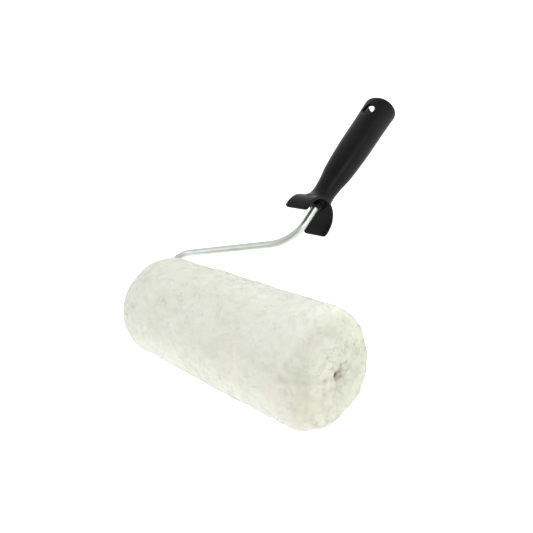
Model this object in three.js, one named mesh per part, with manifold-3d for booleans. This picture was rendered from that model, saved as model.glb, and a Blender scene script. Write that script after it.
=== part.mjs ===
// Paint roller: deep fleece sleeve on a bent steel wire frame, with a hollow
// plastic handle that carries a saddle-shaped drip guard.
//
// Units are millimetres, +Z up. The roller lies as it is put down on a table:
// on its fleece and on the lower edge of the handle's butt.
//
// Tool frame (inside the `tool` group, before it is tipped onto the table):
//   X  roller axle, free end at +X, wire enters at -X
//   Y  from the axle towards the handle's butt
//   Z  normal of the plane that holds the wire and the handle
import * as THREE from 'three';
import { mergeVertices } from 'three/addons/utils/BufferGeometryUtils.js';
import Module from 'manifold-3d';

const wasm = await Module();
wasm.setup();

// ---------------------------------------------------------------- dimensions
const FLEECE_R = 47.5;          // outer radius of the brushed-up pile
const FLEECE_HALF = 115.5;      // half the overall length of the sleeve
const FLEECE_ROUND = 23;        // radius that rounds the sleeve's ends
const FLEECE_BORE_R = 26.8;     // pile starts here, on its backing
const FLEECE_LIP_X = 102.9;     // inner face of the wool drawn over the ends
const DIMPLE_R = 8.5;           // opening left around the axle

const CORE_HALF = 100;          // half length of the tube
const CORE_R_OUT = 25;
const CORE_R_IN = 23;
const BACK_R_IN = 25.3;         // knitted backing on the tube
const BACK_R_OUT = 26.5;
const BACK_HALF = 102;

const ROD_R = 3.5;              // 7 mm wire
const RUN_R = 3.7;              // bore of everything that runs on the wire
const ROD_END_X = 107;          // free end of the axle
const LEG_X = -134.8;           // the wire's leg beyond the sleeve's end
const ROD_TOP_Y = 204;          // how far the wire reaches into the handle
const CORNER_Y = 99.8;          // where wire's upright and diagonal meet
const DIAGONAL_SLOPE = 0.326;   // rise of the diagonal per mm along X
const BEND_R_HANDLE = 32;
const BEND_R_LEG = 22;
const BEND_R_AXLE = 16;

const HANDLE_X = -2.7;          // handle line, measured from the sleeve's middle
const WIRE_X = -1.5;            // the wire sits a little to one side of it
const BUTT_Y = 275.6;           // end of the handle
const GUARD_LOW_Y = 124.2;      // wing tips of the drip guard
const GUARD_ARCH_Y = 128;       // where the wings start to curve in
const GUARD_TOP_Y = 150;        // crown of the guard
const GUARD_HALF_W = 20.4;      // half width over the wings
const GUARD_T = 2.5;            // wall of the guard
const GUARD_DEPTH = 27;         // along the axle direction
const BOSS_LOW_Y = 141;         // boss that holds the wire under the crown
const BOSS_R = 6.5;
const ROD_HOLE_R = 3.8;
const SOCKET_Y = 212;           // bottom of the pole socket
const HANG_Y = 258.4;           // hang hole
const HANG_R = 6.6;

// handle sections: [y, half width in X, half thickness in Z]
const GRIP = [
  [141.5, 12.3, 17.0], [144.5, 12.4, 15.8], [147.0, 12.1, 13.8], [149.5, 11.7, 12.2], [152.5, 11.2, 11.0],
  [156.0, 10.85, 10.3], [160.0, 10.75, 10.0], [167.0, 11.2, 10.4], [174.0, 12.0, 11.0], [180.5, 13.1, 12.0],
  [187.5, 13.95, 12.85], [194.0, 14.5, 13.25], [201.0, 14.9, 13.6], [208.0, 15.3, 13.95],
  [215.0, 15.6, 14.25], [222.0, 15.75, 14.4], [242.0, 16.0, 14.65], [256.0, 16.3, 14.85],
  [266.0, 16.6, 15.1], [271.5, 16.9, 15.35], [273.6, 16.8, 15.25], [275.0, 16.2, 14.7],
  [275.6, 15.5, 14.0],
];
const GRIP_POWER = 2.15;        // 2 is an ellipse; a little more is a fuller oval
// socket sections: [y, half width, half thickness]
const SOCKET = [[212.0, 11.0, 10.1], [244.0, 12.5, 11.3], [271.0, 13.6, 12.2], [276.2, 13.8, 12.4]];

// ------------------------------------------------------------------- helpers
function material(color, roughness, metalness) {
  return new THREE.MeshStandardMaterial({ color, roughness, metalness });
}

// merged, outward-facing copy of a closed geometry, position only
function welded(geometry) {
  const g = geometry.clone();
  for (const name of Object.keys(g.attributes)) if (name !== 'position') g.deleteAttribute(name);
  g.clearGroups();
  const m = mergeVertices(g, 1e-4);
  const p = m.attributes.position;
  const tri = Array.from(m.index.array);
  const keep = [];
  for (let i = 0; i < tri.length; i += 3) {
    if (tri[i] !== tri[i + 1] && tri[i + 1] !== tri[i + 2] && tri[i] !== tri[i + 2]) keep.push(tri[i], tri[i + 1], tri[i + 2]);
  }
  const a = new THREE.Vector3(), b = new THREE.Vector3(), c = new THREE.Vector3();
  let volume = 0;
  for (let i = 0; i < keep.length; i += 3) {
    a.fromBufferAttribute(p, keep[i]); b.fromBufferAttribute(p, keep[i + 1]); c.fromBufferAttribute(p, keep[i + 2]);
    volume += a.dot(b.cross(c)) / 6;
  }
  if (volume < 0) for (let i = 0; i < keep.length; i += 3) [keep[i + 1], keep[i + 2]] = [keep[i + 2], keep[i + 1]];
  m.setIndex(keep);
  m.computeVertexNormals();
  return m;
}

function solid(geometry) {
  const m = welded(geometry);
  return new wasm.Manifold(new wasm.Mesh({
    numProp: 3,
    vertProperties: new Float32Array(m.attributes.position.array),
    triVerts: new Uint32Array(m.index.array),
  }));
}

function fromSolid(manifold) {
  const mesh = manifold.getMesh();
  const g = new THREE.BufferGeometry();
  g.setAttribute('position', new THREE.BufferAttribute(new Float32Array(mesh.vertProperties), 3));
  g.setIndex(new THREE.BufferAttribute(new Uint32Array(mesh.triVerts), 1));
  g.computeVertexNormals();
  return g;
}

function part(name, geometry, mat) {
  const mesh = new THREE.Mesh(geometry, mat);
  mesh.name = name;
  return mesh;
}

// solid of revolution about the axle from a closed profile of [x, r] points
function turned(profile, segments = 48) {
  const points = profile.map(([x, r]) => new THREE.Vector2(r, x));
  points.push(points[0].clone());
  const g = new THREE.LatheGeometry(points, segments);
  g.rotateZ(-Math.PI / 2);
  return g;
}

// plain ring on the axle
function ring(x0, x1, r0, r1, segments = 32) {
  return turned([[x0, r0], [x1, r0], [x1, r1], [x0, r1]], segments);
}

// loft along Y through oval sections [y, half width, half thickness]
function oval(sections, segments, power) {
  const points = [new THREE.Vector2(0, sections[0][0])];
  for (const [y] of sections) points.push(new THREE.Vector2(1, y));
  points.push(new THREE.Vector2(0, sections[sections.length - 1][0]));
  const g = new THREE.LatheGeometry(points, segments);
  const p = g.attributes.position;
  const rows = points.length;
  for (let i = 0; i < p.count; i++) {
    const row = i % rows;
    if (row === 0 || row === rows - 1) { p.setXYZ(i, 0, points[row].y, 0); continue; }
    const [, w, t] = sections[row - 1];
    const turn = (2 * Math.PI * Math.floor(i / rows)) / segments;
    const c = Math.cos(turn), s = Math.sin(turn);
    const k = Math.pow(Math.pow(Math.abs(c), power) + Math.pow(Math.abs(s), power), -1 / power);
    p.setXYZ(i, w * c * k, points[row].y, t * s * k);
  }
  return g;
}

// ---------------------------------------------------------------- materials
const blackPlastic = material(0x29292a, 0.48, 0.0);
const zinc = material(0xb9c0bb, 0.28, 0.95);
const wool = material(0xe6e7da, 0.95, 0.0);
const knit = material(0xd9d5c6, 0.9, 0.0);
const tubePlastic = material(0xd8d2c2, 0.55, 0.0);
const hubPlastic = material(0xc9b58a, 0.5, 0.0);
const nylon = material(0xe9e6da, 0.4, 0.0);
const steel = material(0xaeb2b0, 0.35, 0.9);
const yellowZinc = material(0xb59f62, 0.35, 0.85);

// ------------------------------------------------------------------- handle
function archShape(halfWidth, archHeight, lowY) {
  const power = 2.2;
  const shape = new THREE.Shape();
  shape.moveTo(-halfWidth, lowY);
  const steps = 28;
  for (let i = 0; i <= steps; i++) {
    const a = Math.PI - (Math.PI * i) / steps;
    const c = Math.cos(a), s = Math.sin(a);
    const k = Math.pow(Math.pow(Math.abs(c), power) + Math.pow(Math.abs(s), power), -1 / power);
    shape.lineTo(halfWidth * c * k, GUARD_ARCH_Y + archHeight * s * k);
  }
  shape.lineTo(halfWidth, lowY);
  shape.closePath();
  return shape;
}

// a profile in the Z-Y plane, extruded along X and centred on the handle line
function alongX(shape, depth) {
  const g = new THREE.ExtrudeGeometry(shape, { depth, bevelEnabled: false, curveSegments: 24 });
  g.translate(0, 0, -depth / 2);
  g.rotateY(Math.PI / 2);
  return g;
}

function buildHandle() {
  const archH = GUARD_TOP_Y - GUARD_ARCH_Y;
  const archOuter = solid(alongX(archShape(GUARD_HALF_W, archH, GUARD_LOW_Y), GUARD_DEPTH));
  const archInner = solid(alongX(archShape(GUARD_HALF_W - GUARD_T, archH - GUARD_T, GUARD_LOW_Y - 3), GUARD_DEPTH + 20));

  // the wing tips have rounded corners, seen along Z
  const h = GUARD_DEPTH / 2, r = 3;
  const plan = new THREE.Shape();
  plan.moveTo(-h + r, GUARD_LOW_Y);
  plan.lineTo(h - r, GUARD_LOW_Y);
  plan.absarc(h - r, GUARD_LOW_Y + r, r, -Math.PI / 2, 0, false);
  plan.lineTo(h, GUARD_TOP_Y + 4);
  plan.lineTo(-h, GUARD_TOP_Y + 4);
  plan.lineTo(-h, GUARD_LOW_Y + r);
  plan.absarc(-h + r, GUARD_LOW_Y + r, r, Math.PI, 1.5 * Math.PI, false);
  const planSolid = new THREE.ExtrudeGeometry(plan, { depth: 60, bevelEnabled: false, curveSegments: 6 });
  planSolid.translate(0, 0, -30);

  const grip = solid(oval(GRIP, 44, GRIP_POWER));
  const body = archOuter.add(grip.subtract(solid(lowerBlock()))).intersect(solid(planSolid).add(solid(upperBlock())));

  const boss = new THREE.CylinderGeometry(BOSS_R, BOSS_R, GUARD_TOP_Y - BOSS_LOW_Y, 28);
  boss.translate(WIRE_X - HANDLE_X, (GUARD_TOP_Y + BOSS_LOW_Y) / 2, 0);
  const rodHole = new THREE.CylinderGeometry(ROD_HOLE_R, ROD_HOLE_R, ROD_TOP_Y + 0.5 - (BOSS_LOW_Y - 5), 24);
  rodHole.translate(WIRE_X - HANDLE_X, (ROD_TOP_Y + 0.5 + BOSS_LOW_Y - 5) / 2, 0);
  const hang = new THREE.CylinderGeometry(HANG_R, HANG_R, 60, 36);
  hang.rotateX(Math.PI / 2);
  hang.translate(0, HANG_Y, 0);

  const result = body
    .subtract(archInner)
    .add(solid(boss))
    .subtract(solid(rodHole))
    .subtract(solid(oval(SOCKET, 40, 2)))
    .subtract(solid(hang));
  const g = fromSolid(result);
  g.translate(HANDLE_X, 0, 0);
  return g;
}

// keeps the grip's flared root from reaching below the guard's crown
function lowerBlock() {
  const g = new THREE.BoxGeometry(60, 20, 60);
  g.translate(0, GUARD_LOW_Y + 17 - 10, 0);
  return g;
}
function upperBlock() {
  const g = new THREE.BoxGeometry(80, 140, 60);
  g.translate(0, GUARD_TOP_Y - 8 + 70, 0);
  return g;
}

// --------------------------------------------------------------------- wire
// one planar path of straight runs and bends, divided only where it bends
class WirePath extends THREE.Curve {
  constructor(corners, radii, bendSteps) {
    super();
    this.stations = [];
    const add = (p, t) => this.stations.push([p, t]);
    const first = corners[0], second = corners[1];
    add(first.clone(), second.clone().sub(first).normalize());
    for (let i = 1; i < corners.length - 1; i++) {
      const p = corners[i];
      const inDir = p.clone().sub(corners[i - 1]).normalize();
      const outDir = corners[i + 1].clone().sub(p).normalize();
      const turn = Math.acos(THREE.MathUtils.clamp(inDir.dot(outDir), -1, 1));
      const r = radii[i - 1];
      const start = p.clone().addScaledVector(inDir, -r * Math.tan(turn / 2));
      const side = outDir.clone().addScaledVector(inDir, -outDir.dot(inDir)).normalize();
      const centre = start.clone().addScaledVector(side, r);
      for (let k = 0; k <= bendSteps; k++) {
        const a = (turn * k) / bendSteps;
        const q = centre.clone().addScaledVector(side, -r * Math.cos(a)).addScaledVector(inDir, r * Math.sin(a));
        const t = inDir.clone().multiplyScalar(Math.cos(a)).addScaledVector(side, Math.sin(a)).normalize();
        add(q, t);
      }
    }
    const last = corners[corners.length - 1];
    add(last.clone(), last.clone().sub(corners[corners.length - 2]).normalize());
  }
  get steps() { return this.stations.length - 1; }
  at(u) {
    const f = THREE.MathUtils.clamp(u, 0, 1) * this.steps;
    const i = Math.min(Math.floor(f + 1e-9), this.steps - 1);
    return [this.stations[i], this.stations[i + 1], Math.max(0, f - i)];
  }
  getPoint(u, target = new THREE.Vector3()) {
    const [a, b, k] = this.at(u);
    return target.lerpVectors(a[0], b[0], k);
  }
  getPointAt(u, target) { return this.getPoint(u, target); }
  getTangent(u, target = new THREE.Vector3()) {
    const [a, b, k] = this.at(u);
    return target.lerpVectors(a[1], b[1], k).normalize();
  }
  getTangentAt(u, target) { return this.getTangent(u, target); }
}

function buildRod() {
  const legTopY = CORNER_Y + DIAGONAL_SLOPE * (LEG_X - WIRE_X);
  const path = new WirePath([
    new THREE.Vector3(WIRE_X, ROD_TOP_Y, 0),
    new THREE.Vector3(WIRE_X, CORNER_Y, 0),
    new THREE.Vector3(LEG_X, legTopY, 0),
    new THREE.Vector3(LEG_X, 0, 0),
    new THREE.Vector3(ROD_END_X, 0, 0),
  ], [BEND_R_HANDLE, BEND_R_LEG, BEND_R_AXLE], 12);
  const section = new THREE.Shape();
  section.absarc(0, 0, ROD_R, 0, 2 * Math.PI, false);
  const wire = new THREE.ExtrudeGeometry(section, { steps: path.steps, extrudePath: path, curveSegments: 9 });

  // stop ears, pinched out of the wire just outside the sleeve's first hub
  const ears = new THREE.CylinderGeometry(6.2, 6.2, 2.4, 24);
  ears.scale(0.42, 1, 1);
  ears.translate(-(CORE_HALF + 8.1), 0, 0);
  return fromSolid(solid(wire).add(solid(ears)));
}

// ------------------------------------------------------------------- sleeve
function fleeceProfile() {
  const end = [];
  const cx = FLEECE_HALF - FLEECE_ROUND, cr = FLEECE_R - FLEECE_ROUND;
  for (let i = 0; i <= 9; i++) {
    const a = (Math.PI / 2) * (i / 9);
    end.push([cx + FLEECE_ROUND * Math.sin(a), cr + FLEECE_ROUND * Math.cos(a)]);
  }
  end.push([FLEECE_HALF - 0.4, 20], [FLEECE_HALF - 2.2, 14.5], [FLEECE_HALF - 5.5, 10.6], [FLEECE_HALF - 9, DIMPLE_R], [FLEECE_LIP_X, DIMPLE_R]);
  const right = [...end, [FLEECE_LIP_X, FLEECE_BORE_R]];
  const left = right.map(([x, r]) => [-x, r]).reverse();
  return [...right, ...left];
}

function hubProfile(sign) {
  const p = [
    [CORE_HALF - 12, 22.7], [CORE_HALF + 0.3, 22.7], [CORE_HALF + 0.3, 24.9], [CORE_HALF + 2.3, 24.9],
    [CORE_HALF + 2.3, 5.4], [CORE_HALF - 14, 5.4], [CORE_HALF - 14, 8.2], [CORE_HALF - 1.7, 8.2],
    [CORE_HALF - 1.7, 20.6], [CORE_HALF - 12, 20.6],
  ];
  return p.map(([x, r]) => [sign * x, r]);
}

function bushProfile(sign) {
  const p = [
    [CORE_HALF - 14, RUN_R], [CORE_HALF - 14, 5.1], [CORE_HALF + 2.6, 5.1], [CORE_HALF + 2.6, 7.6],
    [CORE_HALF + 3.6, 7.6], [CORE_HALF + 3.6, RUN_R],
  ];
  return p.map(([x, r]) => [sign * x, r]);
}

function nutProfile() {
  // push-on cap: a skirt on the washer, and a dome over the end of the wire
  const x = CORE_HALF + 5.2;
  return [
    [x, RUN_R + 0.1], [x, 6.6], [x + 0.9, 6.6], [x + 1.2, 5.4], [x + 2.2, 5.1], [x + 3.0, 4.0], [x + 3.4, 2.2], [x + 3.5, 0],
    [ROD_END_X + 0.4, 0], [ROD_END_X + 0.4, RUN_R + 0.1],
  ];
}

const tool = new THREE.Group();
tool.add(
  part('handle', buildHandle(), blackPlastic),
  part('frame_rod', buildRod(), zinc),
  part('stop_washer', welded(ring(-(CORE_HALF + 4.9), -(CORE_HALF + 3.9), RUN_R, 7.4)), steel),
  part('bush_rod_side', welded(turned(bushProfile(-1), 32)), nylon),
  part('hub_rod_side', welded(turned(hubProfile(-1), 44)), hubPlastic),
  part('core_tube', welded(ring(-CORE_HALF, CORE_HALF, CORE_R_IN, CORE_R_OUT, 44)), tubePlastic),
  part('backing', welded(ring(-BACK_HALF, BACK_HALF, BACK_R_IN, BACK_R_OUT, 44)), knit),
  part('fleece', welded(turned(fleeceProfile(), 44)), wool),
  part('hub_free_end', welded(turned(hubProfile(1), 44)), hubPlastic),
  part('bush_free_end', welded(turned(bushProfile(1), 32)), nylon),
  part('end_washer', welded(ring(CORE_HALF + 3.9, CORE_HALF + 4.9, RUN_R, 7.4)), steel),
  part('push_nut', welded(turned(nutProfile(), 28)), yellowZinc),
);

// --------------------------------------------------------- put on the table
// tip about the axle until the butt's lower edge is level with the fleece
const buttHalfT = GRIP[GRIP.length - 1][2];
let tip = 0;
for (let i = 0; i < 40; i++) {
  // lowest point of the handle's last rings, below the axle
  let low = 0;
  for (const [y, , t] of GRIP.slice(-8)) low = Math.max(low, y * Math.sin(tip) + t * Math.cos(tip));
  tip += (FLEECE_R - low) / BUTT_Y;
}
tool.rotation.x = -tip;
const farY = BUTT_Y * Math.cos(tip) + buttHalfT * Math.sin(tip);
const nearY = -FLEECE_R;
const leftX = LEG_X - ROD_R, rightX = FLEECE_HALF;
tool.position.set(-(leftX + rightX) / 2, -(nearY + farY) / 2, FLEECE_R);

const roller = new THREE.Group();
roller.add(tool);
export default roller;
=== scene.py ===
import math

import bpy
import numpy as np
from mathutils import Matrix, Vector
from mathutils.kdtree import KDTree


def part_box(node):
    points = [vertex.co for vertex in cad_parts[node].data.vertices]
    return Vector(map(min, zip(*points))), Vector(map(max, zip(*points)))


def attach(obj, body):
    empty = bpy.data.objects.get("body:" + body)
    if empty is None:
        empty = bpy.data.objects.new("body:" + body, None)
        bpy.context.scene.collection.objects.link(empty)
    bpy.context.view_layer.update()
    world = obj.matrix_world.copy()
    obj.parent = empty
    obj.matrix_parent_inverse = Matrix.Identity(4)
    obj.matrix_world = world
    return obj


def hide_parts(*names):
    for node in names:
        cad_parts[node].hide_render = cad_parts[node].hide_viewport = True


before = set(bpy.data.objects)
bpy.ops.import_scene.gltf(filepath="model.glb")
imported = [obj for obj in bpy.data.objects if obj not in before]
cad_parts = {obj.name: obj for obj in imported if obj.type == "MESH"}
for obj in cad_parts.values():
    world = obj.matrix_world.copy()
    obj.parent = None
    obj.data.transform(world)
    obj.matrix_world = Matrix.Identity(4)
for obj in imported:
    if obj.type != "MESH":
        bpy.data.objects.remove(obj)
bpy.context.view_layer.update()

scene = bpy.context.scene

# ------------------------------------------------------------------ frames
# Shapes are written in the tool frame, in millimetres: X is the axle with its
# free end at +X, Y runs from the axle to the handle's butt, Z is the normal of
# the plane that holds the wire and the handle. row() puts them on the table.
sleeve_lo, sleeve_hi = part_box("fleece")
AXLE = np.array([0.0, (sleeve_lo.y + sleeve_hi.y) / 2, (sleeve_lo.z + sleeve_hi.z) / 2]) * 1000.0
AXLE[0] = (sleeve_lo.x + sleeve_hi.x) / 2 * 1000.0
TIP = math.radians(6.7919218)
CT, ST = math.cos(TIP), math.sin(TIP)
ROT = np.array([[1, 0, 0], [0, CT, ST], [0, -ST, CT]])


def row(p):
    return (np.asarray(p, float) @ ROT.T + AXLE) / 1000.0


def row_dir(v):
    return np.asarray(v, float) @ ROT.T


# ------------------------------------------------------------------- noise
def _hash(ix, iy, iz, seed):
    h = (ix.astype(np.uint32) * np.uint32(374761393) + iy.astype(np.uint32) * np.uint32(668265263)
         + iz.astype(np.uint32) * np.uint32(2147483647) + np.uint32(seed * 974711 + 12345))
    h = (h ^ (h >> np.uint32(13))) * np.uint32(1274126177)
    h = (h ^ (h >> np.uint32(16))) * np.uint32(2246822519)
    h = h ^ (h >> np.uint32(15))
    return h.astype(np.float64) / 4294967295.0 * 2 - 1


def noise(p, size, seed=0):
    """Smooth value noise in -1..1 with features about `size` across."""
    q = np.asarray(p, float) / size + 500.0
    i = np.floor(q)
    f = q - i
    i = i.astype(np.int64)
    w = f * f * f * (f * (f * 6 - 15) + 10)
    out = 0.0
    for dx in (0, 1):
        wx = w[:, 0] if dx else 1 - w[:, 0]
        for dy in (0, 1):
            wy = w[:, 1] if dy else 1 - w[:, 1]
            for dz in (0, 1):
                wz = w[:, 2] if dz else 1 - w[:, 2]
                out = out + wx * wy * wz * _hash(i[:, 0] + dx, i[:, 1] + dy, i[:, 2] + dz, seed)
    return out


def noise3(p, size, seed=0):
    return np.stack([noise(p, size, seed + k) for k in (0, 1, 2)], 1)


def unit(v):
    return v / np.maximum(np.linalg.norm(v, axis=1, keepdims=True), 1e-9)


def smooth(a, b, x):
    t = np.clip((x - a) / (b - a), 0, 1)
    return t * t * (3 - 2 * t)


def pchip(xs, ys, x):
    """Monotone cubic through the points (xs, ys)."""
    xs, ys, x = np.asarray(xs, float), np.asarray(ys, float), np.asarray(x, float)
    h = np.diff(xs)
    d = np.diff(ys) / h
    m = np.zeros_like(ys)
    m[0], m[-1] = d[0], d[-1]
    for k in range(1, len(xs) - 1):
        if d[k - 1] * d[k] > 0:
            w1, w2 = 2 * h[k] + h[k - 1], h[k] + 2 * h[k - 1]
            m[k] = (w1 + w2) / (w1 / d[k - 1] + w2 / d[k])
    i = np.clip(np.searchsorted(xs, x, side="right") - 1, 0, len(xs) - 2)
    t = np.clip((x - xs[i]) / h[i], 0, 1)
    return ((2 * t**3 - 3 * t**2 + 1) * ys[i] + (t**3 - 2 * t**2 + t) * h[i] * m[i]
            + (-2 * t**3 + 3 * t**2) * ys[i + 1] + (t**3 - t**2) * h[i] * m[i + 1])


# ------------------------------------------------------------------ meshes
def build(name, co, faces, is_row=True, smooth_faces=True):
    """Mesh object from points and an array of triangles or quads (or a list of arrays)."""
    me = bpy.data.meshes.new(name)
    groups = faces if isinstance(faces, list) else [faces]
    groups = [np.asarray(g, np.int32) for g in groups if len(g)]
    co = np.asarray(co, float)
    me.vertices.add(len(co))
    me.vertices.foreach_set("co", co.astype(np.float32).ravel())
    loops = np.concatenate([g.ravel() for g in groups])
    counts = np.concatenate([np.full(len(g), g.shape[1], np.int32) for g in groups])
    starts = np.concatenate([[0], np.cumsum(counts)[:-1]]).astype(np.int32)
    me.loops.add(len(loops))
    me.loops.foreach_set("vertex_index", loops)
    me.polygons.add(len(counts))
    me.polygons.foreach_set("loop_start", starts)
    me.polygons.foreach_set("use_smooth", np.full(len(counts), smooth_faces))
    me.update(calc_edges=True)
    ob = bpy.data.objects.new(name, me)
    scene.collection.objects.link(ob)
    return ob


def tube(rings, close_u=True, cap_start=True, cap_end=True):
    """Quads and caps for rings of equal length: (points, [quads, triangles])."""
    rings = np.asarray(rings, float)
    n, m = rings.shape[:2]
    i = np.arange(n - 1)[:, None] * m
    j = np.arange(m)[None, :]
    k = (j + 1) % m
    quads = np.stack([i + j, i + k, i + m + k, i + m + j], -1).reshape(-1, 4)
    co = rings.reshape(-1, 3)
    tris = []
    if cap_start:
        co = np.vstack([co, rings[0].mean(0)])
        c = len(co) - 1
        tris += [(c, (a + 1) % m, a) for a in range(m)]
    if cap_end:
        co = np.vstack([co, rings[-1].mean(0)])
        c = len(co) - 1
        b = (n - 1) * m
        tris += [(c, b + a, b + (a + 1) % m) for a in range(m)]
    return co, [quads, np.array(tris, np.int32).reshape(-1, 3)]


def outward(ob):
    """Turns a closed mesh's faces outward."""
    me = ob.data
    me.calc_loop_triangles()
    t = np.empty(len(me.loop_triangles) * 3, np.int32)
    me.loop_triangles.foreach_get("vertices", t)
    co = np.empty(len(me.vertices) * 3, np.float32)
    me.vertices.foreach_get("co", co)
    co = co.reshape(-1, 3).astype(float)
    co -= co.mean(0)
    a, b, c = (co[t.reshape(-1, 3)[:, k]] for k in range(3))
    if np.einsum("ij,ij->i", a, np.cross(b, c)).sum() < 0:
        me.flip_normals()
    return ob


def evaluated(ob):
    """Applies ob's modifiers."""
    dg = bpy.context.evaluated_depsgraph_get()
    me = bpy.data.meshes.new_from_object(ob.evaluated_get(dg), depsgraph=dg)
    ob.modifiers.clear()
    old = ob.data
    ob.data = me
    bpy.data.meshes.remove(old)
    return ob


def combine(a, b, operation):
    """Boolean of two closed meshes; b is used up."""
    m = a.modifiers.new("combine", "BOOLEAN")
    m.operation = operation
    m.solver = "MANIFOLD"
    m.object = b
    evaluated(a)
    bpy.data.objects.remove(b)
    return a


def coords(ob):
    co = np.empty(len(ob.data.vertices) * 3, np.float32)
    ob.data.vertices.foreach_get("co", co)
    return co.reshape(-1, 3).astype(float)


def set_coords(ob, co):
    ob.data.vertices.foreach_set("co", np.asarray(co, np.float32).ravel())
    ob.data.update()


# --------------------------------------------------------------- materials
class Nodes:
    """A small helper for writing node materials."""

    def __init__(self, name):
        self.mat = bpy.data.materials.new(name)
        self.mat.use_nodes = True
        self.t = self.mat.node_tree
        self.t.nodes.clear()
        self.out = self.t.nodes.new("ShaderNodeOutputMaterial")
        self.bsdf = self.t.nodes.new("ShaderNodeBsdfPrincipled")
        self.t.links.new(self.bsdf.outputs[0], self.out.inputs[0])
        self.where = self.t.nodes.new("ShaderNodeTexCoord").outputs["Object"]

    def put(self, value, socket):
        if isinstance(value, bpy.types.NodeSocket):
            self.t.links.new(value, socket)
        elif value is not None:
            if hasattr(socket.default_value, "__len__") and hasattr(value, "__len__") and len(value) == 3 and len(socket.default_value) == 4:
                value = (*value, 1.0)
            socket.default_value = value

    def node(self, kind, inputs=(), **props):
        n = self.t.nodes.new(kind)
        for k, v in props.items():
            setattr(n, k, v)
        for key, v in dict(inputs).items():
            self.put(v, n.inputs[key])
        return n

    def attribute(self, name, output="Fac"):
        return self.node("ShaderNodeAttribute", attribute_name=name).outputs[output]

    def mapping(self, scale, vector=None, rotation=(0, 0, 0)):
        return self.node("ShaderNodeMapping", {"Vector": vector or self.where, "Scale": scale, "Rotation": rotation}).outputs[0]

    def noise(self, scale, detail=3.0, roughness=0.55, vector=None, distortion=0.0, output="Fac"):
        return self.node("ShaderNodeTexNoise", {"Vector": vector or self.where, "Scale": scale, "Detail": detail, "Roughness": roughness, "Distortion": distortion}).outputs[output]

    def math(self, op, a, b=None, c=None, clamp=False):
        n = self.node("ShaderNodeMath", operation=op, use_clamp=clamp)
        for k, v in enumerate((a, b, c)):
            if v is not None:
                self.put(v, n.inputs[k])
        return n.outputs[0]

    def ramp(self, value, stops, interpolation="LINEAR"):
        n = self.node("ShaderNodeValToRGB", {"Fac": value})
        n.color_ramp.interpolation = interpolation
        e = n.color_ramp.elements
        while len(e) < len(stops):
            e.new(0.5)
        for k, (pos, col) in enumerate(stops):
            e[k].position = pos
            e[k].color = (*col, 1.0) if len(col) == 3 else col
        return n.outputs[0]

    def range(self, value, a, b, lo=0.0, hi=1.0):
        return self.node("ShaderNodeMapRange", {"Value": value, "From Min": a, "From Max": b, "To Min": lo, "To Max": hi}).outputs[0]

    def mix(self, fac, a, b, blend="MIX"):
        n = self.node("ShaderNodeMix", data_type="RGBA", blend_type=blend)
        self.put(fac, n.inputs[0])
        self.put(a, n.inputs[6])
        self.put(b, n.inputs[7])
        return n.outputs[2]

    def bump(self, height, strength, distance, normal=None):
        n = self.node("ShaderNodeBump", {"Strength": strength, "Distance": distance, "Height": height})
        if normal is not None:
            self.put(normal, n.inputs["Normal"])
        return n.outputs[0]

    def shader(self, **values):
        for k, v in values.items():
            self.put(v, self.bsdf.inputs[k.replace("_", " ")])
        return self.mat


def grey(v):
    return (v, v, v)


# black polypropylene: fine spark-eroded grain, faint scuffs
n = Nodes("handle_plastic")
cloud = n.noise(38.0, 4.0, 0.6)
grain = n.noise(2600.0, 2.0, 0.5)
fine = n.noise(900.0, 3.0, 0.6)
scuff_v = n.mapping((420.0, 60.0, 420.0), rotation=(0.3, 0.1, 0.5))
scuff = n.noise(1.0, 5.0, 0.62, vector=scuff_v, distortion=0.4)
scuffed = n.range(scuff, 0.60, 0.74)
base = n.mix(n.range(cloud, 0.35, 0.68), (0.0030, 0.0030, 0.0032), (0.0050, 0.0049, 0.0051))
base = n.mix(n.math("MULTIPLY", scuffed, 0.35), base, (0.020, 0.020, 0.020))
rough = n.math("ADD", n.range(cloud, 0.3, 0.7, 0.36, 0.43), n.range(fine, 0.2, 0.8, -0.03, 0.05))
height = n.math("ADD", n.math("MULTIPLY", grain, 0.6), n.math("MULTIPLY", fine, 0.4))
handle_plastic = n.shader(Base_Color=base, Roughness=rough, Metallic=0.0, IOR=1.49, Specular_IOR_Level=0.115,
                          Normal=n.bump(height, 0.35, 0.00012))

# bright zinc on drawn steel wire: lines along the wire, faint blotches, tiny pits
n = Nodes("zinc_wire")
uv = n.node("ShaderNodeUVMap", uv_map="OFBake").outputs[0]
lines_v = n.mapping((60.0, 9.0, 1.0), vector=uv)
lines = n.noise(1.0, 4.0, 0.62, vector=lines_v)
wide_v = n.mapping((7.0, 2.2, 1.0), vector=uv)
wide = n.noise(1.0, 2.0, 0.5, vector=wide_v)
blotch = n.noise(130.0, 4.0, 0.6)
pits = n.noise(1500.0, 2.0, 0.5)
tone = n.math("ADD", n.math("MULTIPLY", lines, 0.55), n.math("MULTIPLY", wide, 0.45))
base = n.ramp(tone, [(0.30, (0.44, 0.465, 0.445)), (0.47, (0.54, 0.57, 0.543)), (0.68, (0.63, 0.66, 0.625))])
base = n.mix(n.range(blotch, 0.45, 0.75, 0.0, 0.55), base, (0.49, 0.52, 0.525))
rough = n.math("ADD", n.range(lines, 0.3, 0.7, 0.30, 0.40), n.range(blotch, 0.4, 0.8, 0.0, 0.10))
height = n.math("ADD", n.math("MULTIPLY", lines, 0.7), n.math("MULTIPLY", pits, 0.3))
zinc_wire = n.shader(Base_Color=base, Roughness=rough, Metallic=1.0, Anisotropic=0.35,
                     Normal=n.bump(height, 0.25, 0.00008))


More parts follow.
